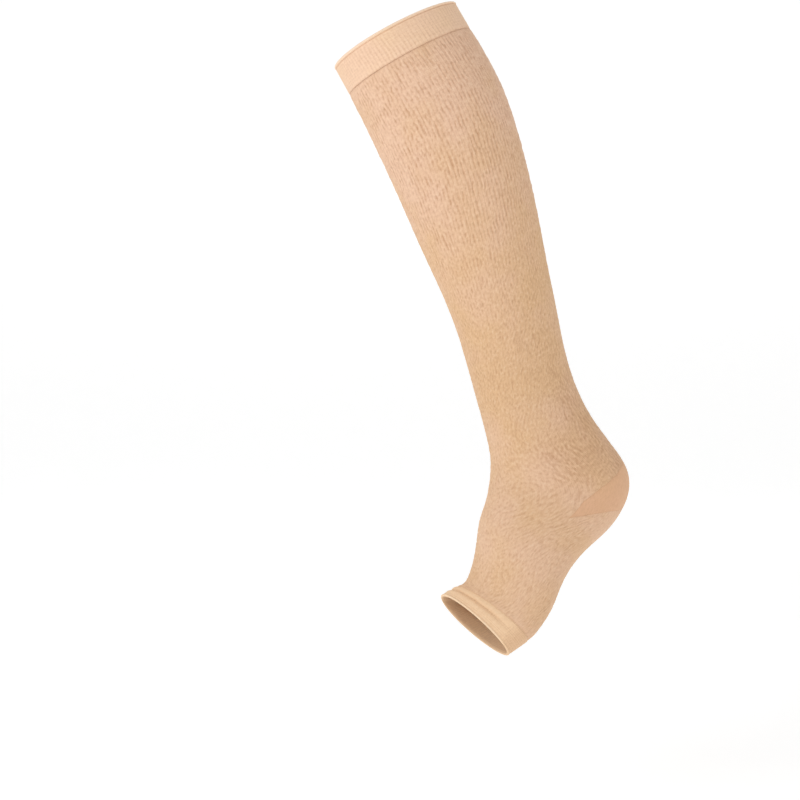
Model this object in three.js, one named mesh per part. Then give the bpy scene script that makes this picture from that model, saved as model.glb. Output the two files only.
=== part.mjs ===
// Open-toe compression stocking, worn form, held hollow.
// Millimetres, +Z up. The toes point towards -Y and the outer side of the leg is +X.
// The origin is the centre of the top opening.
import * as THREE from 'three';

// Driving sizes
const wall = 1.2;            // knit of the leg and foot
const bandWall = 1.5;        // ribbed top band
const toeWall = 1.5;         // welt round the toe opening
const seamGap = 0.3;         // clear space between two pieces at a seam
const leanDeg = 22.6;        // the leg's axis leans forward from upright
const rollDeg = 16.4;        // the sole's outer edge lies lower than its inner edge
const toeOutDeg = 7.8;       // the foot turns outward from the shin
const twistOut = 6;          // the turn's axis lies this far in front of the leg's axis
const frontColumns = 20;     // columns between the heel pocket's points, round the front
const backColumns = 28;      // columns between the same points, round the back
const ribCount = 112;        // vertical ribs on the top band
const ribCrest = 0.3;        // rib crests stand this far outside the band's surface
const ribValley = -0.15;

// One row per section of the stocking, counted down from the top edge.
// along: distance down the leg's axis, out: distance in front of that axis,
// at the front line (shin, top of the foot) and at the back line (calf, heel, sole).
// width: across the section. lean: how far its widest line sits towards the front.
const sections = [
  { at: 'top edge', frontAlong: 5, frontOut: 54, backAlong: -5, backOut: -54, width: 103.5, lean: 0.04 },
  { at: 'band seam', frontAlong: 30, frontOut: 51, backAlong: 19, backOut: -57.5, width: 106.5, lean: 0 },
  { at: 'calf', frontAlong: 66.5, frontOut: 48, backAlong: 64.5, backOut: -63.5, width: 110, lean: -0.06 },
  { at: 'lower calf', frontAlong: 115, frontOut: 45.5, backAlong: 114.5, backOut: -61.5, width: 104, lean: -0.1 },
  { at: 'mid leg', frontAlong: 164.5, frontOut: 44, backAlong: 165, backOut: -55, width: 91, lean: -0.07 },
  { at: 'low leg', frontAlong: 209.5, frontOut: 42, backAlong: 210, backOut: -47, width: 77.5, lean: -0.02 },
  { at: 'above ankle', frontAlong: 249.5, frontOut: 43.5, backAlong: 250, backOut: -40, width: 66.5, lean: 0 },
  { at: 'ankle', frontAlong: 289.5, frontOut: 48, backAlong: 288, backOut: -33.5, width: 59.5, lean: 0.07 },
  { at: 'ankle bones', frontAlong: 319, frontOut: 51.5, backAlong: 319.5, backOut: -31.5, width: 61, lean: 0.08 },
  { at: 'ankle turn', frontAlong: 339.5, frontOut: 55, backAlong: 346, backOut: -34.5, width: 64.5, lean: 0.08 },
  { at: 'heel top', frontAlong: 351, frontOut: 59.5, backAlong: 372.5, backOut: -41.5, width: 67.5, lean: 0.03 },
  { at: 'heel back', frontAlong: 359, frontOut: 64.5, backAlong: 397, backOut: -46, width: 71, lean: -0.08 },
  { at: 'heel low', frontAlong: 366, frontOut: 70, backAlong: 418.5, backOut: -36, width: 74, lean: -0.18 },
  { at: 'heel sole', frontAlong: 375, frontOut: 77.5, backAlong: 433.5, backOut: -10, width: 79.5, lean: -0.24 },
  { at: 'arch', frontAlong: 386.5, frontOut: 87, backAlong: 440, backOut: 19, width: 86.5, lean: -0.28 },
  { at: 'mid foot', frontAlong: 405, frontOut: 96.5, backAlong: 450.5, backOut: 48.5, width: 95, lean: -0.28 },
  { at: 'before ball', frontAlong: 419, frontOut: 104, backAlong: 466, backOut: 70.5, width: 99, lean: -0.23 },
  { at: 'ball', frontAlong: 428.5, frontOut: 110.5, backAlong: 475, backOut: 89, width: 98.5, lean: -0.15 },
  { at: 'toe band seam', frontAlong: 431, frontOut: 117.5, backAlong: 477, backOut: 101.5, width: 95.5, lean: -0.12 },
  { at: 'toe edge', frontAlong: 434.5, frontOut: 131, backAlong: 478, backOut: 121.5, width: 89.5, lean: -0.07 },
];
const bandSeam = 1;          // station numbers are places in the table above
const footTwistFrom = 9;
const footTwistOver = 4;
const footRollFrom = 14;
const toeSeam = 18;
const toeEdge = 19;

// Heel pocket: its upper and lower seam, as stations, against the angle round the leg
// (0 at the shin, 180 at the heel). Both seams start at the pocket's point.
const heelSeams = [
  { angle: 79,    upper: 12.95, lower: 12.95 },
  { angle: 86,    upper: 12.22, lower: 12.84 },
  { angle: 93,    upper: 11.93, lower: 12.72 },
  { angle: 104,   upper: 11.56, lower: 12.6 },
  { angle: 116,   upper: 11.29, lower: 12.49 },
  { angle: 138,   upper: 10.86, lower: 12.4 },
  { angle: 160,   upper: 10.62, lower: 12.35 },
  { angle: 180,   upper: 10.55, lower: 12.33 },
];
const pocketPoint = heelSeams[0].angle;
const pocketStation = heelSeams[0].upper;
const pocketTip = 1.5;       // the pocket's solid stops this many degrees short of the point
const pocketRows = 6;

// Rings of the leg and foot: stations apart down the calf, and closer to the section table below it.
const calfStep = 0.5;
const ankleFrom = 8;
const ankleStep = 0.7;
const ankleTo = 12.9;
const footRings = 12;

// Top band, from the rim down: distance from the top edge and how far the cloth stands out.
const rimProfile = [
  { down: 0,    out: -0.45 },
  { down: 0.5,  out: 0.15 },
  { down: 1.4,  out: 0.35 },
  { down: 2.2,  out: 0.1 },
  { down: 2.7,  out: -0.4 },
];
const ribStart = 3.4;
const ribEnd = 24.2;
const bandHeight = 25;
const bandFoot = -0.25;      // the band's lower edge is drawn in at the seam
const bandInnerDowns = [0, 8, 16, bandHeight];
const edgeThinning = 0.25;   // a mouth's inner edge is this much thinner than its wall

// Toe band: share of its width from the seam, how far it stands out, and how much of the furrow.
const toeProfile = [
  { share: 0,    out: -0.1,  furrow: 0 },
  { share: 0.08, out: 0.35,  furrow: 0 },
  { share: 0.28, out: 0.5,   furrow: 0.2 },
  { share: 0.42, out: 0.45,  furrow: 1 },
  { share: 0.56, out: 0.5,   furrow: 0.2 },
  { share: 0.9,  out: 0.45,  furrow: 0 },
  { share: 1,    out: -0.2,  furrow: 0 },
];
const furrowDepth = 1.0;
const furrowFadeFrom = 35;   // degrees outward from the top of the foot
const furrowFadeTo = 85;
const furrowInnerFrom = -110; // degrees inward, where the furrow starts on the inner side
const furrowInnerTo = -60;
const toeInnerShares = [0, 0.33, 0.66, 1];

// The worn form
const radians = THREE.MathUtils.degToRad;
const columnNames = ['frontAlong', 'frontOut', 'backAlong', 'backOut', 'width', 'lean'];

// Second differences of a natural cubic spline through evenly numbered values.
function splineBends(values) {
  const last = values.length - 1;
  const bend = new Array(values.length).fill(0);
  const upper = new Array(values.length).fill(0);
  for (let i = 1; i < last; i++) {
    const pivot = 4 - upper[i - 1];
    upper[i] = 1 / pivot;
    bend[i] = (6 * (values[i + 1] - 2 * values[i] + values[i - 1]) - bend[i - 1]) / pivot;
  }
  for (let i = last - 1; i > 0; i--) bend[i] -= upper[i] * bend[i + 1];
  return bend;
}

const splines = Object.fromEntries(columnNames.map((name) => {
  const values = sections.map((section) => section[name]);
  return [name, { values, bends: splineBends(values) }];
}));

function sectionValue(name, station) {
  const { values, bends } = splines[name];
  const i = Math.min(Math.max(Math.floor(station), 0), values.length - 2);
  const t = station - i;
  const s = 1 - t;
  return s * values[i] + t * values[i + 1]
    + ((s ** 3 - s) * bends[i] + (t ** 3 - t) * bends[i + 1]) / 6;
}

// A point of the stocking's outer surface. angle is in degrees: 0 front, 90 outer side, 180 back.
function formPoint(station, angle) {
  const section = {};
  for (const name of columnNames) section[name] = sectionValue(name, station);
  const c = Math.cos(radians(angle));
  const across = section.width / 2 * Math.sin(radians(angle));
  const halfAlong = (section.frontAlong - section.backAlong) / 2;
  const halfOut = (section.frontOut - section.backOut) / 2;
  const half = Math.hypot(halfAlong, halfOut);
  const rolled = THREE.MathUtils.clamp((station - footRollFrom) / 5, 0, 1) ** 1.5;
  const forward = c + section.lean * (1 - c * c) - rolled * Math.tan(radians(rollDeg)) * across / half;
  const along = (section.frontAlong + section.backAlong) / 2 + forward * halfAlong;
  const out = (section.frontOut + section.backOut) / 2 + forward * halfOut;
  const turned = THREE.MathUtils.smoothstep(station, footTwistFrom, footTwistFrom + footTwistOver);
  const turn = radians(toeOutDeg) * turned;
  const turnedOut = (out - twistOut) * Math.cos(turn) - across * Math.sin(turn) + twistOut;
  const turnedAcross = (out - twistOut) * Math.sin(turn) + across * Math.cos(turn);
  const lean = radians(leanDeg);
  return new THREE.Vector3(
    turnedAcross,
    along * Math.sin(lean) - turnedOut * Math.cos(lean),
    -along * Math.cos(lean) - turnedOut * Math.sin(lean),
  );
}

function formNormal(station, angle) {
  const ds = 0.02;
  const da = 0.6;
  const down = formPoint(station + ds, angle).sub(formPoint(station - ds, angle));
  const round = formPoint(station, angle + da).sub(formPoint(station, angle - da));
  return round.cross(down).normalize().negate();
}

// The same point moved out of the surface, and along the surface by `slide` towards the toes.
function clothPoint(station, angle, out = 0, slide = null) {
  const point = formPoint(station, angle);
  if (slide) point.add(slide);
  return point.addScaledVector(formNormal(station, angle), out);
}

// Seams
function heelSeam(side, angle) {
  const folded = angle > 180 ? 360 - angle : angle;
  if (folded <= pocketPoint) return heelSeams[0][side];
  const i = Math.min(heelSeams.findIndex((seam) => seam.angle >= folded), heelSeams.length - 1);
  const a = heelSeams[i - 1];
  const b = heelSeams[i];
  return THREE.MathUtils.lerp(a[side], b[side], (folded - a.angle) / (b.angle - a.angle));
}

const columns = [];
for (let i = 0; i < frontColumns; i++) columns.push(-pocketPoint + 2 * pocketPoint * i / frontColumns);
for (let i = 0; i < backColumns; i++) columns.push(pocketPoint + (360 - 2 * pocketPoint) * i / backColumns);

// Unit vector in the surface, square to a seam given as a function of the angle, towards the toes.
function acrossSeam(seam, angle) {
  const da = 0.8;
  const run = formPoint(seam(angle + da), angle + da).sub(formPoint(seam(angle - da), angle - da));
  return run.cross(formNormal(seam(angle), angle)).normalize();
}

// Solids

// A closed wall from rings of outer and inner points. Rings run from the top down.
function ringWall(outerRings, innerRings) {
  const positions = [];
  const index = [];
  const place = (ring) => ring.map((point) => positions.push(point.x, point.y, point.z) / 3 - 1);
  const outer = outerRings.map(place);
  const inner = innerRings.map(place);
  for (let i = 0; i + 1 < outer.length; i++) stitch(index, outer[i], outer[i + 1]);
  for (let i = 0; i + 1 < inner.length; i++) stitch(index, inner[i + 1], inner[i]);
  stitch(index, inner[0], outer[0]);
  stitch(index, outer.at(-1), inner.at(-1));
  return solid(positions, index);
}

// Triangles between two rings. One ring may have a whole number of times the points of the other.
function stitch(index, upper, lower) {
  const steps = Math.max(upper.length, lower.length);
  const up = upper.length / steps;
  const low = lower.length / steps;
  const half = (ratio) => (ratio === 1 ? 0 : 0.5);
  for (let i = 0; i < steps; i++) {
    const a = upper[Math.floor(i * up + half(up)) % upper.length];
    const b = upper[Math.floor((i + 1) * up + half(up)) % upper.length];
    const c = lower[Math.floor(i * low + half(low)) % lower.length];
    const d = lower[Math.floor((i + 1) * low + half(low)) % lower.length];
    if (a !== b) index.push(a, d, b);
    if (c !== d) index.push(a, c, d);
  }
}

// A closed patch from a grid of outer points and the grid of inner points behind it.
function patchWall(outerGrid, innerGrid) {
  const positions = [];
  const index = [];
  const place = (row) => row.map((point) => positions.push(point.x, point.y, point.z) / 3 - 1);
  const outer = outerGrid.map(place);
  const inner = innerGrid.map(place);
  const quad = (a, b, c, d) => index.push(a, c, d, a, d, b);
  const rows = outer.length - 1;
  const last = outer[0].length - 1;
  for (let i = 0; i < rows; i++) {
    for (let j = 0; j < last; j++) {
      quad(outer[i][j], outer[i][j + 1], outer[i + 1][j], outer[i + 1][j + 1]);
      quad(inner[i][j + 1], inner[i][j], inner[i + 1][j + 1], inner[i + 1][j]);
    }
    quad(inner[i][0], outer[i][0], inner[i + 1][0], outer[i + 1][0]);
    quad(outer[i][last], inner[i][last], outer[i + 1][last], inner[i + 1][last]);
  }
  for (let j = 0; j < last; j++) {
    quad(inner[0][j], inner[0][j + 1], outer[0][j], outer[0][j + 1]);
    quad(outer[rows][j], outer[rows][j + 1], inner[rows][j], inner[rows][j + 1]);
  }
  return solid(positions, index);
}

function solid(positions, index) {
  const geometry = new THREE.BufferGeometry();
  geometry.setAttribute('position', new THREE.Float32BufferAttribute(positions, 3));
  geometry.setIndex(index);
  geometry.computeVertexNormals();
  return geometry;
}

function piece(name, geometry, color, roughness) {
  const material = new THREE.MeshStandardMaterial({ color, roughness, metalness: 0 });
  const mesh = new THREE.Mesh(geometry, material);
  mesh.name = name;
  return mesh;
}

// Leg and foot tubes

// Rings between two seams. Each seam is { station(angle), slide: mm moved off the seam line }.
function tubeRings(stations, fromSeam, toSeam, out) {
  const first = stations[0];
  const last = stations.at(-1);
  return stations.map((station) => columns.map((angle) => {
    const share = (station - first) / (last - first);
    const from = fromSeam.station(angle);
    const to = toSeam.station(angle);
    const here = THREE.MathUtils.clamp(
      station + (from - first) * (1 - share) ** 2 + (to - last) * share ** 2, from, to);
    let slide = null;
    if (share === 0) slide = acrossSeam(fromSeam.station, angle).multiplyScalar(seamGap / 2);
    if (share === 1) slide = acrossSeam(toSeam.station, angle).multiplyScalar(-seamGap / 2);
    return clothPoint(here, angle, out, slide);
  }));
}

function knitTube(stations, fromSeam, toSeam) {
  return ringWall(
    tubeRings(stations, fromSeam, toSeam, 0),
    tubeRings(stations, fromSeam, toSeam, -wall),
  );
}

const flatSeam = (station) => ({ station: () => station });
const pocketUpper = { station: (angle) => heelSeam('upper', (angle + 360) % 360) };
const pocketLower = { station: (angle) => heelSeam('lower', (angle + 360) % 360) };

const legStations = [];
for (let s = bandSeam; s < ankleFrom; s += calfStep) legStations.push(s);
for (let s = ankleFrom; s < ankleTo; s += ankleStep) legStations.push(s);
legStations.push(pocketStation);

const footStations = [];
for (let i = 0; i <= footRings; i++) {
  footStations.push(THREE.MathUtils.lerp(pocketStation, toeSeam, i / footRings));
}

const legGeometry = knitTube(legStations, flatSeam(bandSeam), pocketUpper);
const footGeometry = knitTube(footStations, pocketLower, flatSeam(toeSeam));

// Heel pocket
function heelPocket() {
  const back = columns.filter((angle) => angle > pocketPoint + 1);
  const angles = [pocketPoint + pocketTip, ...back, 360 - pocketPoint - pocketTip];
  // between the point and the next column both seams run straight, like their neighbours' edges
  const next = back[0];
  const seamAt = (side) => (angle) => {
    const folded = angle > 180 ? 360 - angle : angle;
    if (folded >= next) return heelSeam(side, angle);
    const share = (folded - pocketPoint) / (next - pocketPoint);
    return THREE.MathUtils.lerp(heelSeams[0][side], heelSeam(side, next), share);
  };
  const upper = seamAt('upper');
  const lower = seamAt('lower');
  const grid = (out) => {
    const rings = [];
    for (let i = 0; i <= pocketRows; i++) {
      rings.push(angles.map((angle) => {
        const station = THREE.MathUtils.lerp(upper(angle), lower(angle), i / pocketRows);
        let slide = null;
        if (i === 0) slide = acrossSeam(pocketUpper.station, angle).multiplyScalar(seamGap / 2);
        if (i === pocketRows) slide = acrossSeam(pocketLower.station, angle).multiplyScalar(-seamGap / 2);
        return clothPoint(station, angle, out, slide);
      }));
    }
    return rings;
  };
  return patchWall(grid(0), grid(-wall));
}

// Top band
function topBand() {
  const round = ribCount / 2;
  const evenAngles = (count) => Array.from({ length: count }, (_, i) => 360 * i / count);
  const stationAt = (down) => bandSeam * down / bandHeight;
  const ring = (down, count, out) => evenAngles(count).map((angle, i) => {
    const offset = typeof out === 'function' ? out(i) : out;
    const slide = down === bandHeight
      ? acrossSeam(() => bandSeam, angle).multiplyScalar(-seamGap / 2) : null;
    return clothPoint(stationAt(down), angle, offset, slide);
  });
  const rib = (i) => (i % 2 === 0 ? ribCrest : ribValley);
  const outer = rimProfile.map(({ down, out }) => ring(down, round, out));
  for (const down of [ribStart, (ribStart + ribEnd) / 2, ribEnd]) outer.push(ring(down, ribCount * 2, rib));
  outer.push(ring(bandHeight, round, bandFoot));
  const inner = bandInnerDowns.map((down) =>
    ring(down, round, -bandWall + (down === 0 ? edgeThinning : 0)));
  return ringWall(outer, inner);
}

// Toe band
function toeBand() {
  const seam = { station: () => toeSeam };
  const fade = (angle) => {
    const folded = angle > 180 ? angle - 360 : angle;
    const outward = 1 - THREE.MathUtils.smoothstep(folded, furrowFadeFrom, furrowFadeTo);
    const inward = THREE.MathUtils.smoothstep(folded, furrowInnerFrom, furrowInnerTo);
    return outward * inward;
  };
  const ring = (share, offsetAt) => columns.map((angle) => {
    const slide = share === 0 ? acrossSeam(seam.station, angle).multiplyScalar(seamGap / 2) : null;
    return clothPoint(THREE.MathUtils.lerp(toeSeam, toeEdge, share), angle, offsetAt(angle), slide);
  });
  const outer = toeProfile.map(({ share, out, furrow }) =>
    ring(share, (angle) => out - furrow * furrowDepth * fade(angle)));
  const inner = toeInnerShares.map((share) =>
    ring(share, () => -toeWall + (share === 1 ? edgeThinning : 0)));
  return ringWall(outer, inner);
}

// The stocking
const beige = 0xe3b994;
const beigeBand = 0xe9c3a0;
const beigeHeel = 0xd8ab86;

const stocking = new THREE.Group();
stocking.name = 'compression_stocking';
stocking.add(piece('top_band', topBand(), beigeBand, 0.9));
stocking.add(piece('leg', legGeometry, beige, 0.95));
stocking.add(piece('heel_pocket', heelPocket(), beigeHeel, 0.85));
stocking.add(piece('foot', footGeometry, beige, 0.95));
stocking.add(piece('toe_band', toeBand(), beigeBand, 0.9));

export default stocking;
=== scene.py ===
import math
import bmesh
import bpy
import numpy as np
from mathutils import Matrix, Vector


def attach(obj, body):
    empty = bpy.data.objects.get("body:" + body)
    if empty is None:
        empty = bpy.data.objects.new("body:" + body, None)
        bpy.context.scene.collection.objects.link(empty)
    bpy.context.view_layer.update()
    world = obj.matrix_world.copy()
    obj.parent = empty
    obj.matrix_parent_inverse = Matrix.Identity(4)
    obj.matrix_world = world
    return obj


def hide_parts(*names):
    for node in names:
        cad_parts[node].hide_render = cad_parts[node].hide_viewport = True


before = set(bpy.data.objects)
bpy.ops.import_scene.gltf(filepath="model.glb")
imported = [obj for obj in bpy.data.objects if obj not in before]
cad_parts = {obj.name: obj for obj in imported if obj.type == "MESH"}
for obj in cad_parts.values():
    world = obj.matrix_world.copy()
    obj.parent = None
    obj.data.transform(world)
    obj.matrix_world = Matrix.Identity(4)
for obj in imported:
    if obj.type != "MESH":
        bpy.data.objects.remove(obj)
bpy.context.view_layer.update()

MM = 0.001

# Sizes in millimetres
WALL = 1.2              # knit of the leg and foot
BAND_WALL = 1.5
TOE_WALL = 1.5
LEAN = math.radians(22.6)
ROLL = math.radians(16.4)
TOE_OUT = math.radians(7.8)
TWIST_OUT = 6.0
WALES = 104             # ripples round the leg and foot, 3.3 mm apart where widest, and the band's ribs
COLUMNS = WALES * 4     # mesh columns round the tubes
RIPPLE_DEPTH = 0.34
LIFT = 0.06             # how far the knit stands out from the plain form
STROKE_LENGTH = 2.9     # of the short strokes that run down the cloth
STROKE_PITCH = 2.25     # between the strokes that run across it
WELD_M = 2e-6           # points closer than this, in metres, are one
LEG_ROWS, LEG_INNER_ROWS = 208, 26
FOOT_ROWS, FOOT_INNER_ROWS = 190, 16

# One row per section, from the top edge down: front along and out, back along and out, width, lean
SECTIONS = np.array([
    (5, 54, -5, -54, 103.5, 0.04),              # top edge
    (30, 51, 19, -57.5, 106.5, 0),              # band seam
    (66.5, 48, 64.5, -63.5, 110, -0.06),        # calf
    (115, 45.5, 114.5, -61.5, 104, -0.1),
    (164.5, 44, 165, -55, 91, -0.07),
    (209.5, 42, 210, -47, 77.5, -0.02),
    (249.5, 43.5, 250, -40, 66.5, 0),
    (289.5, 48, 288, -33.5, 59.5, 0.07),        # ankle
    (319, 51.5, 319.5, -31.5, 61, 0.08),
    (339.5, 55, 346, -34.5, 64.5, 0.08),        # ankle turn
    (351, 59.5, 372.5, -41.5, 67.5, 0.03),
    (359, 64.5, 397, -46, 71, -0.08),           # heel
    (366, 70, 418.5, -36, 74, -0.18),
    (375, 77.5, 433.5, -10, 79.5, -0.24),
    (386.5, 87, 440, 19, 86.5, -0.28),          # arch
    (405, 96.5, 450.5, 48.5, 95, -0.28),
    (419, 104, 466, 70.5, 99, -0.23),
    (428.5, 110.5, 475, 89, 98.5, -0.15),       # ball
    (431, 117.5, 477, 101.5, 95.5, -0.12),      # toe band seam
    (434.5, 131, 478, 121.5, 89.5, -0.07),      # toe edge
])
BAND_SEAM, TOE_SEAM, TOE_EDGE = 1.0, 18.0, 19.0

# Heel pocket's seams: angle round the leg, upper and lower station
HEEL_SEAMS = np.array([
    (79, 12.95, 12.95), (86, 12.22, 12.84), (93, 11.93, 12.72), (104, 11.56, 12.6),
    (116, 11.29, 12.49), (138, 10.86, 12.4), (160, 10.62, 12.35), (180, 10.55, 12.33),
])
POINT_ANGLE, POINT_STATION = 79.0, 12.95


# The worn form
def spline_bends(values):
    count = len(values)
    matrix = np.eye(count)
    right = np.zeros_like(values)
    for i in range(1, count - 1):
        matrix[i, i - 1:i + 2] = (1, 4, 1)
        right[i] = 6 * (values[i + 1] - 2 * values[i] + values[i - 1])
    return np.linalg.solve(matrix, right)


BENDS = spline_bends(SECTIONS)


def section_at(station):
    i = np.clip(np.floor(station).astype(int), 0, len(SECTIONS) - 2)
    t = (station - i)[..., None]
    s = 1 - t
    return (s * SECTIONS[i] + t * SECTIONS[i + 1]
            + ((s ** 3 - s) * BENDS[i] + (t ** 3 - t) * BENDS[i + 1]) / 6)


def smooth(low, high, value):
    t = np.clip((value - low) / (high - low), 0, 1)
    return t * t * (3 - 2 * t)


def form(station, angle):
    """Points of the outer surface, in mm. angle in degrees: 0 front, 90 outer side, 180 back."""
    station, angle = np.broadcast_arrays(np.asarray(station, float), np.asarray(angle, float))
    front_a, front_o, back_a, back_o, width, lean = np.moveaxis(section_at(station), -1, 0)
    c = np.cos(np.radians(angle))
    across = width / 2 * np.sin(np.radians(angle))
    half_a, half_o = (front_a - back_a) / 2, (front_o - back_o) / 2
    rolled = np.clip((station - 14) / 5, 0, 1) ** 1.5 * math.tan(ROLL)
    forward = c + lean * (1 - c * c) - rolled * across / np.hypot(half_a, half_o)
    along = (front_a + back_a) / 2 + forward * half_a
    out = (front_o + back_o) / 2 + forward * half_o
    turn = TOE_OUT * smooth(9, 13, station)
    turned_out = (out - TWIST_OUT) * np.cos(turn) - across * np.sin(turn) + TWIST_OUT
    turned_across = (out - TWIST_OUT) * np.sin(turn) + across * np.cos(turn)
    return np.stack([
        turned_across,
        along * math.sin(LEAN) - turned_out * math.cos(LEAN),
        -along * math.cos(LEAN) - turned_out * math.sin(LEAN),
    ], -1)


def form_normal(station, angle):
    down = form(station + 0.02, angle) - form(station - 0.02, angle)
    round_ = form(station, angle + 0.6) - form(station, angle - 0.6)
    normal = np.cross(down, round_)
    return normal / np.linalg.norm(normal, axis=-1, keepdims=True)


LAID_STATIONS = np.linspace(BAND_SEAM, TOE_SEAM, 400)
LAID_ANGLE_STEP = 5
LAID_POINTS = form(LAID_STATIONS[:, None], np.arange(0, 361, LAID_ANGLE_STEP)[None, :])
LAID = np.concatenate([np.zeros((1, LAID_POINTS.shape[1])),
                       np.cumsum(np.linalg.norm(np.diff(LAID_POINTS, axis=0), axis=-1), axis=0)])


def laid_down(station, angle):
    """How far down the cloth a point lies from the top band's seam, in mm along its own line."""
    row = (station - BAND_SEAM) / (TOE_SEAM - BAND_SEAM) * (len(LAID) - 1)
    i = np.clip(np.floor(row).astype(int), 0, len(LAID) - 2)
    column = angle % 360 / LAID_ANGLE_STEP
    j = np.floor(column).astype(int)
    fi, fj = row - i, column - j
    return ((LAID[i, j] * (1 - fj) + LAID[i, j + 1] * fj) * (1 - fi)
            + (LAID[i + 1, j] * (1 - fj) + LAID[i + 1, j + 1] * fj) * fi)


def side_length(first, last, steps=400):
    """Stations and how far down the outer side each lies, in mm."""
    stations = np.linspace(first, last, steps)
    points = form(stations, np.full(steps, 90.0))
    run = np.concatenate([[0], np.cumsum(np.linalg.norm(np.diff(points, axis=0), axis=1))])
    return stations, run


def from_front(angle):
    """How far round from the front a point lies, on either side, in degrees."""
    return np.where(angle > 180, 360 - angle, angle)


def heel_seam(column, angle):
    return np.interp(from_front(angle % 360), HEEL_SEAMS[:, 0], HEEL_SEAMS[:, column])


# Cloth laid on the form
def lay_cloth(name, columns, rows, place):
    """A flat grid of cloth laid on the form.

    place(column, row) takes each point's place in the grid and gives its position in mm, its
    shade from -1 on a crest to 1 down in a groove, and its place in the knit. This shade is painted
    light and shade: painted highlight on crests, painted shade in grooves and on less lit sides; it also
    darkens stitched seams.
    """
    bpy.ops.object.select_all(action="DESELECT")
    bpy.ops.mesh.primitive_grid_add(x_subdivisions=columns, y_subdivisions=rows, size=1, calc_uvs=True)
    piece = bpy.context.active_object
    piece.name = name
    mesh = piece.data
    mesh.name = name
    flat = np.empty(len(mesh.vertices) * 3)
    mesh.vertices.foreach_get("co", flat)
    flat = flat.reshape(-1, 3)
    column = np.rint((flat[:, 0] + 0.5) * columns).astype(int)
    row = np.rint((0.5 - flat[:, 1]) * rows).astype(int)
    position, shade, knit = place(column, row)
    mesh.vertices.foreach_set("co", (position * MM).ravel())
    # the painted shade and highlight, with the seams' stitches, go to the material as the "shade"
    # attribute
    attribute = mesh.attributes.new("shade", "FLOAT", "POINT")
    attribute.data.foreach_set("value", np.clip(shade, -1, 1).astype(np.float32))
    loops = np.empty(len(mesh.loops), int)
    mesh.loops.foreach_get("vertex_index", loops)
    mesh.uv_layers[0].uv.foreach_set("vector", knit[loops].astype(np.float32).ravel())
    mesh.uv_layers[0].name = "knit"
    # where the grid's edges meet, round a tube and at a wedge's points, they become one
    shell = bmesh.new()
    shell.from_mesh(mesh)
    bmesh.ops.remove_doubles(shell, verts=shell.verts, dist=WELD_M)
    shell.to_mesh(mesh)
    shell.free()
    mesh.shade_smooth()
    mesh.update()
    return piece


def turn_outwards(piece):
    """Flips the cloth where its faces point into the stocking."""
    shell = bmesh.new()
    shell.from_mesh(piece.data)
    if shell.calc_volume(signed=True) < 0:
        bmesh.ops.reverse_faces(shell, faces=shell.faces)
    shell.to_mesh(piece.data)
    shell.free()


def finish_piece(piece, material, slot, *nodes):
    piece.data.materials.clear()
    piece.data.materials.append(material)
    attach(piece, "root")
    if nodes:
        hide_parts(*nodes)


# Reliefs
NOISE_ROWS = 257
BLOCK = 8               # strokes side by side that keep their order
STROKES_ROUND = 128
CROSSWISE_ROUND = 64


def blend_cells(table, x, y):
    """The table's values, blended smoothly from cell to cell, repeating along x and y."""
    cells = len(table)
    xi, yi = np.floor(x).astype(int), np.floor(y).astype(int)
    fx, fy = x - xi, y - yi
    fx, fy = fx * fx * (3 - 2 * fx), fy * fy * (3 - 2 * fy)
    a, b, c, d = xi % cells, (xi + 1) % cells, yi % NOISE_ROWS, (yi + 1) % NOISE_ROWS
    near = table[a, c] * (1 - fx) + table[b, c] * fx
    far = table[a, d] * (1 - fx) + table[b, d] * fx
    return near * (1 - fy) + far * fy


def soft_noise(x, y, seed, cells):
    """Smooth noise from -1 to 1 that repeats every `cells` along x."""
    return blend_cells(np.random.default_rng(seed).uniform(-1, 1, (cells, NOISE_ROWS)), x, y)


def strokes(x, y, seed, cells, run="lengthwise"):
    """Short strokes one cell long, side by side: along y, or along x where run is "across"."""
    random = np.random.default_rng(seed)
    # a block keeps its order, and the next one may start the other way round
    if run == "across":
        starts = np.repeat(random.integers(0, 2, (cells, NOISE_ROWS // BLOCK + 1)), BLOCK, axis=1)
        order = np.arange(NOISE_ROWS)[None, :] + starts[:, :NOISE_ROWS]
    else:
        starts = np.repeat(random.integers(0, 2, (cells // BLOCK, NOISE_ROWS)), BLOCK, axis=0)
        order = np.arange(cells)[:, None] + starts
    faint = random.random((cells, NOISE_ROWS)) < 0.14
    strength = random.uniform(0.6, 1, (cells, NOISE_ROWS)) * np.where(faint, 0.2, 1)
    return blend_cells((1 - 2 * (order % 2)) * strength, x, y)


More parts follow.
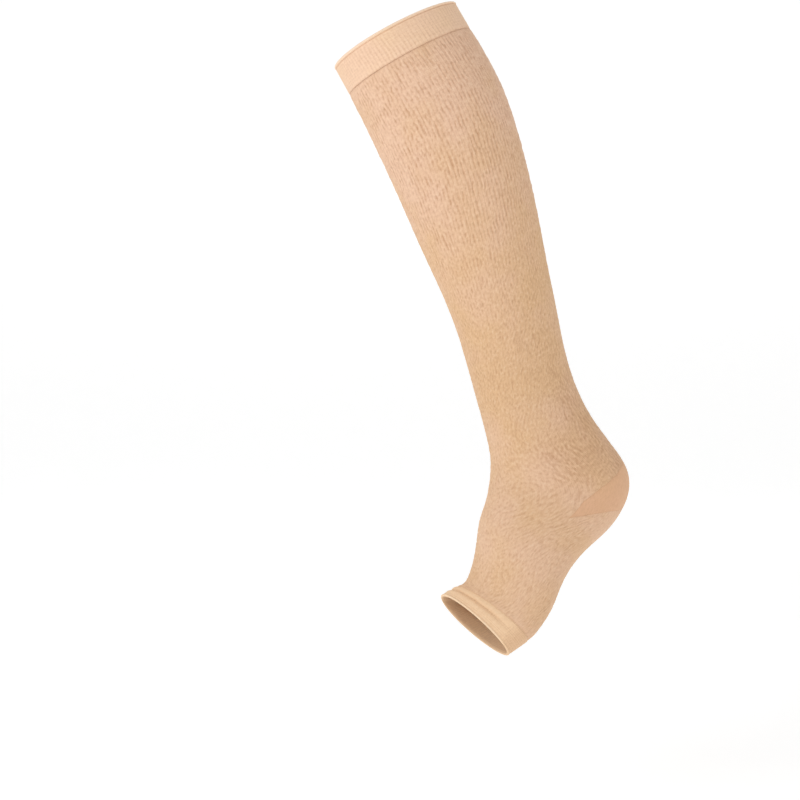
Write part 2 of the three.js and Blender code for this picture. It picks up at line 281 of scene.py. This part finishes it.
def ripple(angle, down):
    """The knit's ripples: slits above 0, the puffs beside them below 0.

    They stand in columns down the upper leg, and break up into short strokes that lean one way
    or the other in patches towards the ankle. Some of the lower ones run across. Lengths that
    divide or bound `down` are in mm.
    """
    turn = angle % 360 / 360
    sway = (0.25 * soft_noise(turn * 52, down / 5, 3, 52)
            + 0.12 * soft_noise(turn * 104, down / 3, 4, 104))
    filled = 0.62 + 0.8 * soft_noise(turn * 104 + down / 5, down / 2.7, 5, 104)
    columns = np.cos((turn * WALES + sway) * 2 * np.pi) * filled
    leaning = smooth(-0.1, 0.4, soft_noise(turn * 26, down / 9, 9, 26))
    across, along = turn * STROKES_ROUND, down / STROKE_LENGTH
    leant = np.interp(down, (0, 300, 520), (0, 115, 160))
    short = (strokes(across + leant, along, 6, STROKES_ROUND) * leaning
             + strokes(across - leant, along, 7, STROKES_ROUND) * (1 - leaning))
    patches = smooth(-0.1, 0.3, soft_noise(turn * 30, down / 8, 10, 30))
    crosswise = patches * (0.5 * smooth(180, 260, down) + 0.4 * smooth(300, 370, down))
    level = down / STROKE_PITCH + 1.2 * soft_noise(turn * 24, down / 12, 14, 24)
    lying = strokes(turn * CROSSWISE_ROUND, level, 8, CROSSWISE_ROUND, run="across")
    short = short * (1 - crosswise) + lying * crosswise
    weight = np.interp(down, (110, 250, 290, 360), (0.2, 1.0, 0.8, 0.6))
    return columns * (1 - 0.82 * smooth(110, 250, down)) + short * weight


# Knitted tubes
def rows_down(row, rows, inner_rows):
    """How far down each row lies, 0 at the upper edge to 1 at the lower, and whether it is inside."""
    last = rows + inner_rows + 2
    inside = (row > rows) & (row < last)
    share = np.where(inside, 1 - (row - rows - 1) / inner_rows, row / rows)
    return np.where(row == last, 0, np.clip(share, 0, 1)), inside


def knit_tube(name, first, last, from_seam, to_seam, rows, inner_rows, relief):
    """Outer cloth from the upper seam down, round the lower edge, and back up inside."""
    stations, run = side_length(first, last)
    length = run[-1]
    total = rows + inner_rows + 2

    def place(column, row):
        angle = column / COLUMNS * 360.0
        share, inside = rows_down(row, rows, inner_rows)
        down = share * length
        station = np.interp(down, run, stations)
        part = (station - first) / (last - first)
        start, end = from_seam(angle), to_seam(angle)
        here = station + (start - first) * (1 - part) ** 2 + (end - last) * part ** 2
        here = np.clip(here, np.minimum(start, end), np.maximum(start, end))
        laid = laid_down(here, angle)
        out, shade = relief(angle, down, length - down, laid)
        back_of_knit = 0.12 * np.cos(column / 4 * 2 * np.pi)
        out = np.where(inside, -WALL + back_of_knit, out)
        # painted shade: the cloth inside the stocking is set darker
        shade = np.where(inside, 0.3 + back_of_knit, shade)
        position = form(here, angle) + form_normal(here, angle) * out[:, None]
        knit = np.stack([column / COLUMNS, laid * MM], -1)
        return position, shade, knit

    piece = lay_cloth(name, COLUMNS, total, place)
    turn_outwards(piece)
    return piece


def at(station):
    return lambda angle: np.full(np.shape(angle), station)


def line(distance, width):
    """1 on a line, fading to 0 over about its width in mm."""
    return np.exp(-(distance / width) ** 2)


def beside_pocket(angle):
    """0 round the front, 1 where the heel pocket's seam runs."""
    return smooth(POINT_ANGLE, POINT_ANGLE + 5, from_front(angle))


def seam_stitches(angle):
    """Dashes along the heel pocket's seams, stronger near its point."""
    folded = from_front(angle)
    near_point = 1 - smooth(84, 112, folded)
    return (0.35 + 0.65 * near_point) * (0.45 + 0.55 * np.cos(folded / 3.4 * 2 * np.pi) ** 2)


def painted_shade_behind_ankle(angle, laid):
    """Up to 1 behind the ankle and round the heel: painted shade on the back of the leg and heel, which
    the light reaches less.
    """
    folded = from_front(angle)
    behind = smooth(85, 135, folded) * smooth(240, 320, laid) * (1 - smooth(370, 430, laid))
    over_heel = smooth(45, 95, folded) * smooth(300, 345, laid) * (1 - smooth(352, 395, laid))
    return np.maximum(behind, over_heel)


def leg_relief(angle, down, left, laid):
    knit = ripple(angle, laid) * smooth(0, 3, down)
    pocket = beside_pocket(angle)
    seam = pocket * line(left, 1.6)
    out = LIFT - RIPPLE_DEPTH * knit - 0.3 * line(down, 1.2) - 0.1 * seam
    # painted shade: the ripple's slits darker and its puffs paler, and up to 0.5 darker behind the ankle
    # and round the heel
    shade = knit * (1 - seam) + 0.5 * painted_shade_behind_ankle(angle, laid)
    shade = np.maximum(shade, 0.5 * line(down, 0.9))
    shade = np.maximum(shade, 0.45 * seam * seam_stitches(angle))
    return out, shade


def foot_relief(angle, down, left, laid):
    folded = from_front(angle)
    plain = smooth(92, 125, folded) * (1 - smooth(30, 60, down))
    knit = ripple(angle, laid) * (1 - 0.85 * plain) * smooth(0, 3, left)
    seam = beside_pocket(angle) * line(down, 1.2)
    out = LIFT - RIPPLE_DEPTH * knit - 0.12 * seam - 0.15 * line(left, 1.2)
    # painted shade: the ripple's slits darker and its puffs paler, and up to 0.5 darker behind the ankle
    # and round the heel
    shade = knit * (1 - seam) + 0.5 * painted_shade_behind_ankle(angle, laid)
    shade = np.maximum(shade, 0.45 * seam * seam_stitches(angle))
    # painted shadow along the toe band's seam, stronger round the outer side
    outer = smooth(40, 80, np.where(angle > 180, 0, angle))
    shade = np.maximum(shade, (0.15 + 0.35 * outer) * line(left, 1.0))
    return out, shade


leg = knit_tube("leg_knit", BAND_SEAM, POINT_STATION, at(BAND_SEAM), lambda a: heel_seam(1, a),
                LEG_ROWS, LEG_INNER_ROWS, leg_relief)
foot = knit_tube("foot_knit", POINT_STATION, TOE_SEAM, lambda a: heel_seam(2, a), at(TOE_SEAM),
                 FOOT_ROWS, FOOT_INNER_ROWS, foot_relief)
for tube in (leg, foot):
    bpy.ops.object.select_all(action="DESELECT")
    tube.select_set(True)
    bpy.context.view_layer.objects.active = tube
    bpy.ops.object.shade_smooth_by_angle(angle=math.radians(60))


# Top band
# One row per point of the rolled rim and its groove: how far down, and how far out
RIM = np.array([(0, -0.45), (0.4, 0.15), (1.0, 0.42), (1.6, 0.4),
                (2.2, 0.1), (2.6, -0.35), (3.0, -0.4), (3.5, 0.0)])
BAND_HEIGHT = 25.0
BAND_EDGE = 24.85       # the cloth stops just short of the seam
BAND_COLUMNS, BAND_ROWS, BAND_INNER_ROWS = WALES * 6, 34, 6


def band_place(columns, rows, inner_rows):
    downs = np.concatenate([np.linspace(0, 4, 14), np.linspace(4.5, BAND_EDGE, rows - 13)])
    total = rows + inner_rows + 2

    def place(column, row):
        angle = column / columns * 360.0
        share, inside = rows_down(row, rows, inner_rows)
        outer_down = np.where(row == total, 0, downs[np.clip(row, 0, rows)])
        down = np.where(inside, np.maximum(share * BAND_EDGE, 0.15), outer_down)
        station = down / BAND_HEIGHT
        rim = np.interp(down, RIM[:, 0], RIM[:, 1])
        in_ribs = smooth(3.2, 4.6, down) * (1 - smooth(23.4, 24.6, down))
        turn = column / columns
        wander = 0.2 * soft_noise(turn * 52, down / 6, 11, 52)
        rib = np.cos((turn * WALES + wander) * 2 * np.pi)
        strength = 0.6 + 0.4 * soft_noise(turn * 40, down / 7, 12, 40)
        course = np.cos((down / 2.1 + 0.15 * soft_noise(turn * 30, down / 5, 13, 30)) * 2 * np.pi)
        ribs = LIFT + 0.15 * rib * strength + 0.04 * course
        out = rim + in_ribs * ribs - 0.4 * line(BAND_HEIGHT - down, 0.9)
        # painted shade and highlight: darker between the ribs and courses and paler on them, a painted
        # shadow in the groove under the rolled rim, darker along the seam where the cloth dips, and a
        # painted highlight on the rim
        shade = in_ribs * (0.12 - 0.34 * rib * strength - 0.14 * course)
        shade = np.maximum(shade, 0.8 * line(down - 2.9, 0.45))
        shade = np.maximum(shade, 0.6 * line(BAND_EDGE - down, 0.6))
        shade = shade - 0.8 * line(down - 1.2, 0.8)
        inner_rib = np.cos(turn * WALES * 2 * np.pi)
        out = np.where(inside, -BAND_WALL + 0.1 * inner_rib, out)
        # painted shade: the cloth inside the stocking is set darker
        shade = np.where(inside, 0.25 - 0.15 * inner_rib, shade)
        position = form(station, angle) + form_normal(station, angle) * out[:, None]
        knit = np.stack([turn, down * MM], -1)
        return position, shade, knit

    return place, total


band_placer, band_total = band_place(BAND_COLUMNS, BAND_ROWS, BAND_INNER_ROWS)
band = lay_cloth("top_band_knit", BAND_COLUMNS, band_total, band_placer)
turn_outwards(band)


# Toe band
FURROW_FADE = (35, 85)  # degrees round the outer side where the furrow dies out
TOE_COLUMNS, TOE_ROWS, TOE_INNER_ROWS = WALES * 5, 44, 8
TOE_BAND_M = 0.017      # height of the band in metres


def toe_place(columns, rows, inner_rows):
    total = rows + inner_rows + 2

    def place(column, row):
        turn = column / columns
        angle = turn * 360.0
        share, inside = rows_down(row, rows, inner_rows)
        station = TOE_SEAM + (TOE_EDGE - TOE_SEAM) * share
        folded = np.where(angle > 180, angle - 360, angle)
        fade = (1 - smooth(FURROW_FADE[0], FURROW_FADE[1], folded)) * smooth(-110, -60, folded)
        middle = 0.42 + 0.03 * soft_noise(turn * 18, share * 3, 21, 18)
        outer = smooth(40, 80, folded)
        puff = 0.5 * smooth(0, 0.1, share) - 0.15
        furrow = 0.85 * fade * line(share - middle, 0.085)
        lip = fade * line(share - 0.62, 0.1)
        shoulder = fade * line(share - 0.2, 0.09)
        hem = 0.25 * line(share - 0.955, 0.03) - 0.25 * line(share - 0.9, 0.02)
        end_roll = -0.55 * smooth(0.975, 1.0, share)
        courses = np.cos(share * 11 * 2 * np.pi)
        wander = 0.2 * soft_noise(turn * 52, share * 4, 22, 52)
        wale = np.cos((turn * WALES + wander) * 2 * np.pi)
        out = (puff - 1.25 * furrow + 0.4 * lip + 0.2 * shoulder + hem + end_roll
               + 0.03 * courses + 0.03 * wale)
        # painted shade and highlight: darker in the furrow and between courses and wales, paler on the lip
        # and shoulder, darker round the lower side and paler in front
        painted_shade_below = smooth(58, 92, np.abs(folded))
        shade = (furrow - 0.45 * lip - 0.35 * shoulder - 0.12 * courses - 0.1 * wale
                 + 0.85 * painted_shade_below - 0.25)
        # painted shade in the hem's groove, a painted shadow along the seam that is stronger round the
        # outer side, and a painted highlight along the rolled end
        shade = np.maximum(shade, 0.35 * line(share - 0.9, 0.02))
        shade = np.maximum(shade, (0.15 + 0.4 * outer) * line(share, 0.05))
        shade = shade - 0.6 * line(share - 0.97, 0.03)
        out = np.where(inside, -TOE_WALL + 0.08 * wale, out)
        # painted shade: the cloth inside the stocking is set darker
        shade = np.where(inside, 0.25 - 0.1 * wale, shade)
        position = form(station, angle) + form_normal(station, angle) * out[:, None]
        knit = np.stack([turn, share * TOE_BAND_M], -1)
        return position, shade, knit

    return place, total


toe_placer, toe_total = toe_place(TOE_COLUMNS, TOE_ROWS, TOE_INNER_ROWS)
toe_band = lay_cloth("toe_band_knit", TOE_COLUMNS, toe_total, toe_placer)
turn_outwards(toe_band)


# Heel pocket
POCKET_FIRST = math.floor(POINT_ANGLE / 360 * COLUMNS)
POCKET_COLUMNS = COLUMNS - 2 * POCKET_FIRST
POCKET_ROWS = 34
STATION_LENGTH = 17     # mm of cloth from one section to the next there


def pocket_place(column, row):
    angle = (POCKET_FIRST + column) / COLUMNS * 360
    upper, lower = heel_seam(1, angle), heel_seam(2, angle)
    share = row / POCKET_ROWS
    station = upper + (lower - upper) * share
    reach = np.abs(lower - upper) * STATION_LENGTH
    below, above = share * reach, (1 - share) * reach
    ribs = np.cos((below / 1.6 + 0.2 * soft_noise(angle / 7, below / 5, 31, 52)) * 2 * np.pi)
    out = LIFT + 0.03 * ribs - 0.16 * line(below, 1.0) - 0.12 * line(above, 1.0)
    stitches = 0.4 * line(below, 0.8) * seam_stitches(angle)
    # painted shade between the courses and in the dip along the upper seam; the whole pocket is also set
    # 0.2 darker, and the lower seam gets its stitches
    shade = 0.2 - 0.05 * ribs + stitches + 0.2 * line(above, 0.8)
    position = form(station, angle) + form_normal(station, angle) * out[:, None]
    knit = np.stack([angle / 360, below * MM], -1)
    return position, shade, knit


pocket = lay_cloth("heel_pocket_knit", POCKET_COLUMNS, POCKET_ROWS, pocket_place)
thick = pocket.modifiers.new("cloth thickness", "SOLIDIFY")
thick.thickness = WALL * MM
thick.offset = -1
bpy.ops.object.select_all(action="DESELECT")
bpy.context.view_layer.objects.active = pocket
pocket.select_set(True)


def points_out(piece):
    """Whether the sheet's faces point away from the middle of the tube."""
    middle = len(piece.data.polygons) // 2
    face = piece.data.polygons[middle]
    stations = np.full(1, 12.0)
    centre = (form(stations, np.array([0.0])) + form(stations, np.array([180.0])))[0] / 2 * MM
    return face.normal.dot(face.center - Vector(centre)) > 0


if not points_out(pocket):
    bpy.ops.object.mode_set(mode="EDIT")
    bpy.ops.mesh.select_all(action="SELECT")
    bpy.ops.mesh.flip_normals()
    bpy.ops.object.mode_set(mode="OBJECT")
bpy.ops.object.modifier_apply(modifier=thick.name)


# Materials
def linear(hex_colour):
    values = [int(hex_colour[i:i + 2], 16) / 255 for i in (1, 3, 5)]
    return tuple(v / 12.92 if v <= 0.04045 else ((v + 0.055) / 1.055) ** 2.4 for v in values) + (1.0,)


def add_node(tree, kind, inputs=None, **settings):
    """Adds a node. inputs holds values, sockets, or nodes for their first output, by name or number."""
    node = tree.nodes.new(kind)
    for key, value in settings.items():
        setattr(node, key, value)
    for key, value in (inputs or {}).items():
        if isinstance(value, bpy.types.Node):
            value = value.outputs[0]
        if isinstance(value, bpy.types.NodeSocket):
            tree.links.new(value, node.inputs[key])
        else:
            node.inputs[key].default_value = value
    return node


def knit_material(name, rosy, sandy, shadow, crest, wales, course_mm, stitch_depth, roughness, flecks):
    """Polyamide knit over elastane: matt, faintly fuzzy, painted shade in grooves, painted highlight on
    crests.
    """
    material = bpy.data.materials.new(name)
    material.use_nodes = True
    tree = material.node_tree
    tree.nodes.clear()
    uv = add_node(tree, "ShaderNodeUVMap", uv_map="knit")
    place = add_node(tree, "ShaderNodeTexCoord").outputs["Object"]
    shade = add_node(tree, "ShaderNodeAttribute", attribute_name="shade").outputs["Fac"]
    split = add_node(tree, "ShaderNodeSeparateXYZ", {"Vector": uv})
    round_leg, down_leg = split.outputs["X"], split.outputs["Y"]
    # loops of the fine knit, a rounded wale with its two sides in a V: drawn up to twice as coarse
    # as the real 0.7 to 0.8 mm, so that they show
    wale = add_node(tree, "ShaderNodeMath", {0: round_leg, 1: float(wales)}, operation="MULTIPLY")
    wale = add_node(tree, "ShaderNodeMath", {0: wale}, operation="FRACT")
    edge = add_node(tree, "ShaderNodeMath", {0: wale, 1: 0.5}, operation="SUBTRACT")
    edge = add_node(tree, "ShaderNodeMath", {0: edge}, operation="ABSOLUTE")
    crown = add_node(tree, "ShaderNodeMath", {0: edge, 1: edge}, operation="MULTIPLY")
    crown = add_node(tree, "ShaderNodeMath", {0: crown, 1: -4.0, 2: 1.0}, operation="MULTIPLY_ADD")
    course = add_node(tree, "ShaderNodeMath", {0: down_leg, 1: 1000.0 / course_mm, 2: edge},
                      operation="MULTIPLY_ADD")
    vee = add_node(tree, "ShaderNodeMath", {0: course, 1: 2 * math.pi}, operation="MULTIPLY")
    vee = add_node(tree, "ShaderNodeMath", {0: vee}, operation="SINE")
    vee = add_node(tree, "ShaderNodeMath", {0: vee, 1: 0.3, 2: 0.7}, operation="MULTIPLY_ADD")
    loop = add_node(tree, "ShaderNodeMath", {0: crown, 1: vee}, operation="MULTIPLY")
    # loose fibres in tufts of about 1.1 mm, coarser than single fibres so that they show
    fuzz = add_node(tree, "ShaderNodeTexNoise",
                    {"Vector": place, "Scale": 900.0, "Detail": 3.0, "Roughness": 0.6})
    height = add_node(tree, "ShaderNodeMath", {0: fuzz, 1: 0.5, 2: loop}, operation="MULTIPLY_ADD")
    bump = add_node(tree, "ShaderNodeBump",
                    {"Strength": 0.6, "Distance": stitch_depth * MM, "Height": height})
    # the yarn is rosier and sandier in patches of about 40 mm, and sandier low on the stocking
    broad = add_node(tree, "ShaderNodeTexNoise",
                     {"Vector": place, "Scale": 24.0, "Detail": 2.0, "Roughness": 0.5})
    patch = add_node(tree, "ShaderNodeMapRange",
                     {"Value": broad, "From Min": 0.36, "From Max": 0.64, "To Min": -0.1, "To Max": 0.5})
    rise = add_node(tree, "ShaderNodeMapRange",
                    {"Value": down_leg, "From Min": 0.07, "From Max": 0.2, "To Max": 0.6})
    fall = add_node(tree, "ShaderNodeMapRange",
                    {"Value": down_leg, "From Min": 0.26, "From Max": 0.36, "To Min": 1.0, "To Max": 0.6})
    sandiness = add_node(tree, "ShaderNodeMath", {0: rise, 1: fall, 2: patch},
                         operation="MULTIPLY_ADD", use_clamp=True)
    base = add_node(tree, "ShaderNodeMix",
                    {0: sandiness, 6: linear(rosy), 7: linear(sandy)}, data_type="RGBA")
    # flecks of single yarns, about 2.3 by 2.6 mm on the leg: coarser than the yarns, so that they show
    strand = add_node(tree, "ShaderNodeMapping", {"Vector": uv, "Scale": (wales * 0.7, 390.0, 1.0)})
    fleck = add_node(tree, "ShaderNodeTexNoise",
                     {"Vector": strand, "Scale": 1.0, "Detail": 2.0, "Roughness": 0.6})
    fleck = add_node(tree, "ShaderNodeMapRange",
                     {"Value": fleck, "From Min": 0.25, "From Max": 0.75,
                      "To Min": -flecks, "To Max": flecks})
    # painted shade and highlight: above 0 the shade attribute, with the flecks, mixes in the shadow
    # colour, and below 0 the crest colour, a painted highlight
    tone = add_node(tree, "ShaderNodeMath", {0: shade, 1: fleck}, operation="ADD")
    dark = add_node(tree, "ShaderNodeMath", {0: tone, 1: 0.5}, operation="MULTIPLY", use_clamp=True)
    pale = add_node(tree, "ShaderNodeMath", {0: tone, 1: -0.6}, operation="MULTIPLY", use_clamp=True)
    browner = add_node(tree, "ShaderNodeMix",
                       {0: dark, 6: base.outputs[2], 7: linear(shadow)}, data_type="RGBA")
    colour = add_node(tree, "ShaderNodeMix",
                      {0: pale, 6: browner.outputs[2], 7: linear(crest)}, data_type="RGBA")
    cloth = add_node(tree, "ShaderNodeBsdfPrincipled", {
        "Base Color": colour.outputs[2], "Roughness": roughness, "Normal": bump, "Specular IOR Level": 0.3,
        "Sheen Weight": 0.25, "Sheen Roughness": 0.5, "Sheen Tint": linear("#F6E2C8")})
    add_node(tree, "ShaderNodeOutputMaterial", {"Surface": cloth})
    return material


LOOPS_ROUND, HEEL_LOOPS_ROUND = 2 * WALES, 3 * WALES

# Ripple knit in beige polyamide over elastane: rosy beige, with painted shade in its slits and painted
# highlight on its puffs.
leg_yarn = knit_material("ripple knit beige polyamide", "#E8C1A4", "#E1B990", "#B58360", "#FBE2C6",
                         LOOPS_ROUND, 1.4, 0.25, 0.9, 0.55)
# Ribbed band with more elastane: paler and yellower than the leg.
band_yarn = knit_material("ribbed knit pale elastane", "#F0CBAE", "#F0CDA8", "#B88863", "#FDE9D0",
                          LOOPS_ROUND, 1.25, 0.2, 0.9, 0.3)
# The toe band is of the same knit, a little sandier.
toe_yarn = knit_material("plain knit pale elastane", "#F1CCA6", "#F2CDA2", "#B88863", "#FDE9D0",
                         LOOPS_ROUND, 1.25, 0.2, 0.9, 0.3)
# Plain dense knit of the heel: smooth, a shade browner.
heel_yarn = knit_material("plain knit beige heel", "#E5B793", "#E3B68C", "#B58360", "#F7DABB",
                          HEEL_LOOPS_ROUND, 1.1, 0.15, 0.85, 0.3)

finish_piece(leg, leg_yarn, "leg_knit", "leg")
finish_piece(foot, leg_yarn, "leg_knit", "foot")
finish_piece(band, band_yarn, "band_knit", "top_band")
finish_piece(toe_band, toe_yarn, "band_knit", "toe_band")
finish_piece(pocket, heel_yarn, "heel_knit", "heel_pocket")


# Studio
def studio():
    bpy.ops.object.select_all(action="DESELECT")
    bpy.ops.mesh.primitive_plane_add(size=1)
    floor = bpy.context.active_object
    floor.name = "studio_floor"
    reach, low, tall, bend = 6.0, -0.62, 5.0, 1.0
    shell = bmesh.new()
    profile = [(-reach, low)]
    for i in range(13):
        turn = i / 12 * math.pi / 2
        profile.append((2.2 + bend * math.sin(turn), low + bend * (1 - math.cos(turn))))
    profile.append((2.2 + bend, low + tall))
    # the sweep runs away from the camera, which looks along -X and a little +Y
    away = Vector((-math.sin(CAMERA_AZIMUTH), math.cos(CAMERA_AZIMUTH), 0))
    side = Vector((math.cos(CAMERA_AZIMUTH), math.sin(CAMERA_AZIMUTH), 0))
    rows = []
    for run, up in profile:
        rows.append([shell.verts.new(away * run + side * s + Vector((0, 0, up))) for s in (-reach, reach)])
    for a, b in zip(rows, rows[1:]):
        shell.faces.new((a[0], a[1], b[1], b[0]))
    bmesh.ops.recalc_face_normals(shell, faces=shell.faces)
    shell.to_mesh(floor.data)
    shell.free()
    floor.data.shade_smooth()
    paper = bpy.data.materials.new("matt white paper")
    paper.use_nodes = True
    surface = paper.node_tree.nodes["Principled BSDF"]
    surface.inputs["Base Color"].default_value = (0.95, 0.95, 0.95, 1)
    surface.inputs["Roughness"].default_value = 0.9
    surface.inputs["Emission Color"].default_value = (1, 1, 1, 1)
    surface.inputs["Emission Strength"].default_value = 0.26
    floor.data.materials.clear()
    floor.data.materials.append(paper)


# Camera: level with the middle of the stocking, from its outer side, a little to the front
CAMERA_AZIMUTH = math.radians(79.058)
CAMERA_RISE = math.radians(0.334)
CAMERA_DISTANCE = 0.982684
CAMERA_ASIDE = (-0.004192, 0.291084)

back = Vector((math.sin(CAMERA_AZIMUTH) * math.cos(CAMERA_RISE),
               -math.cos(CAMERA_AZIMUTH) * math.cos(CAMERA_RISE), math.sin(CAMERA_RISE)))
right = Vector((math.cos(CAMERA_AZIMUTH), math.sin(CAMERA_AZIMUTH), 0))
above = back.cross(right)
lens = bpy.data.cameras.new("camera")
lens.sensor_width = 36
lens.lens = 18 / math.tan(math.radians(18))
lens.clip_start = 0.05
lens.clip_end = 50
camera = bpy.data.objects.new("camera", lens)
bpy.context.scene.collection.objects.link(camera)
turn = Matrix((right, above, back)).transposed().to_4x4()
spot = back * CAMERA_DISTANCE - right * CAMERA_ASIDE[0] - above * CAMERA_ASIDE[1]
camera.matrix_world = Matrix.Translation(spot) @ turn
bpy.context.scene.camera = camera
studio()


def soft_light(name, place, aim, size, power, colour=(1, 1, 1)):
    data = bpy.data.lights.new(name, "AREA")
    data.shape = "DISK"
    data.size = size
    data.energy = power
    data.color = colour
    lamp = bpy.data.objects.new(name, data)
    bpy.context.scene.collection.objects.link(lamp)
    lamp.location = place
    lamp.rotation_euler = (Vector(aim) - Vector(place)).to_track_quat("-Z", "Y").to_euler()
    return lamp


middle = Vector((0, 0.08, -0.23))
soft_light("key", middle + back - right * 1.6 + Vector((0, 0, 0.7)), middle, 1.2, 9.8, (0.965, 1, 1))
soft_light("fill", middle + back * 2.0 + right * 1.0 + Vector((0, 0, 0.3)), middle, 1.6, 3.9,
           (1, 0.93, 0.83))
world = bpy.data.worlds.new("studio")
world.use_nodes = True
world.node_tree.nodes["Background"].inputs["Color"].default_value = (1, 1, 1, 1)
world.node_tree.nodes["Background"].inputs["Strength"].default_value = 0.64
bpy.context.scene.world = world
bpy.context.scene.view_settings.view_transform = "Standard"

bpy.context.view_layer.update()
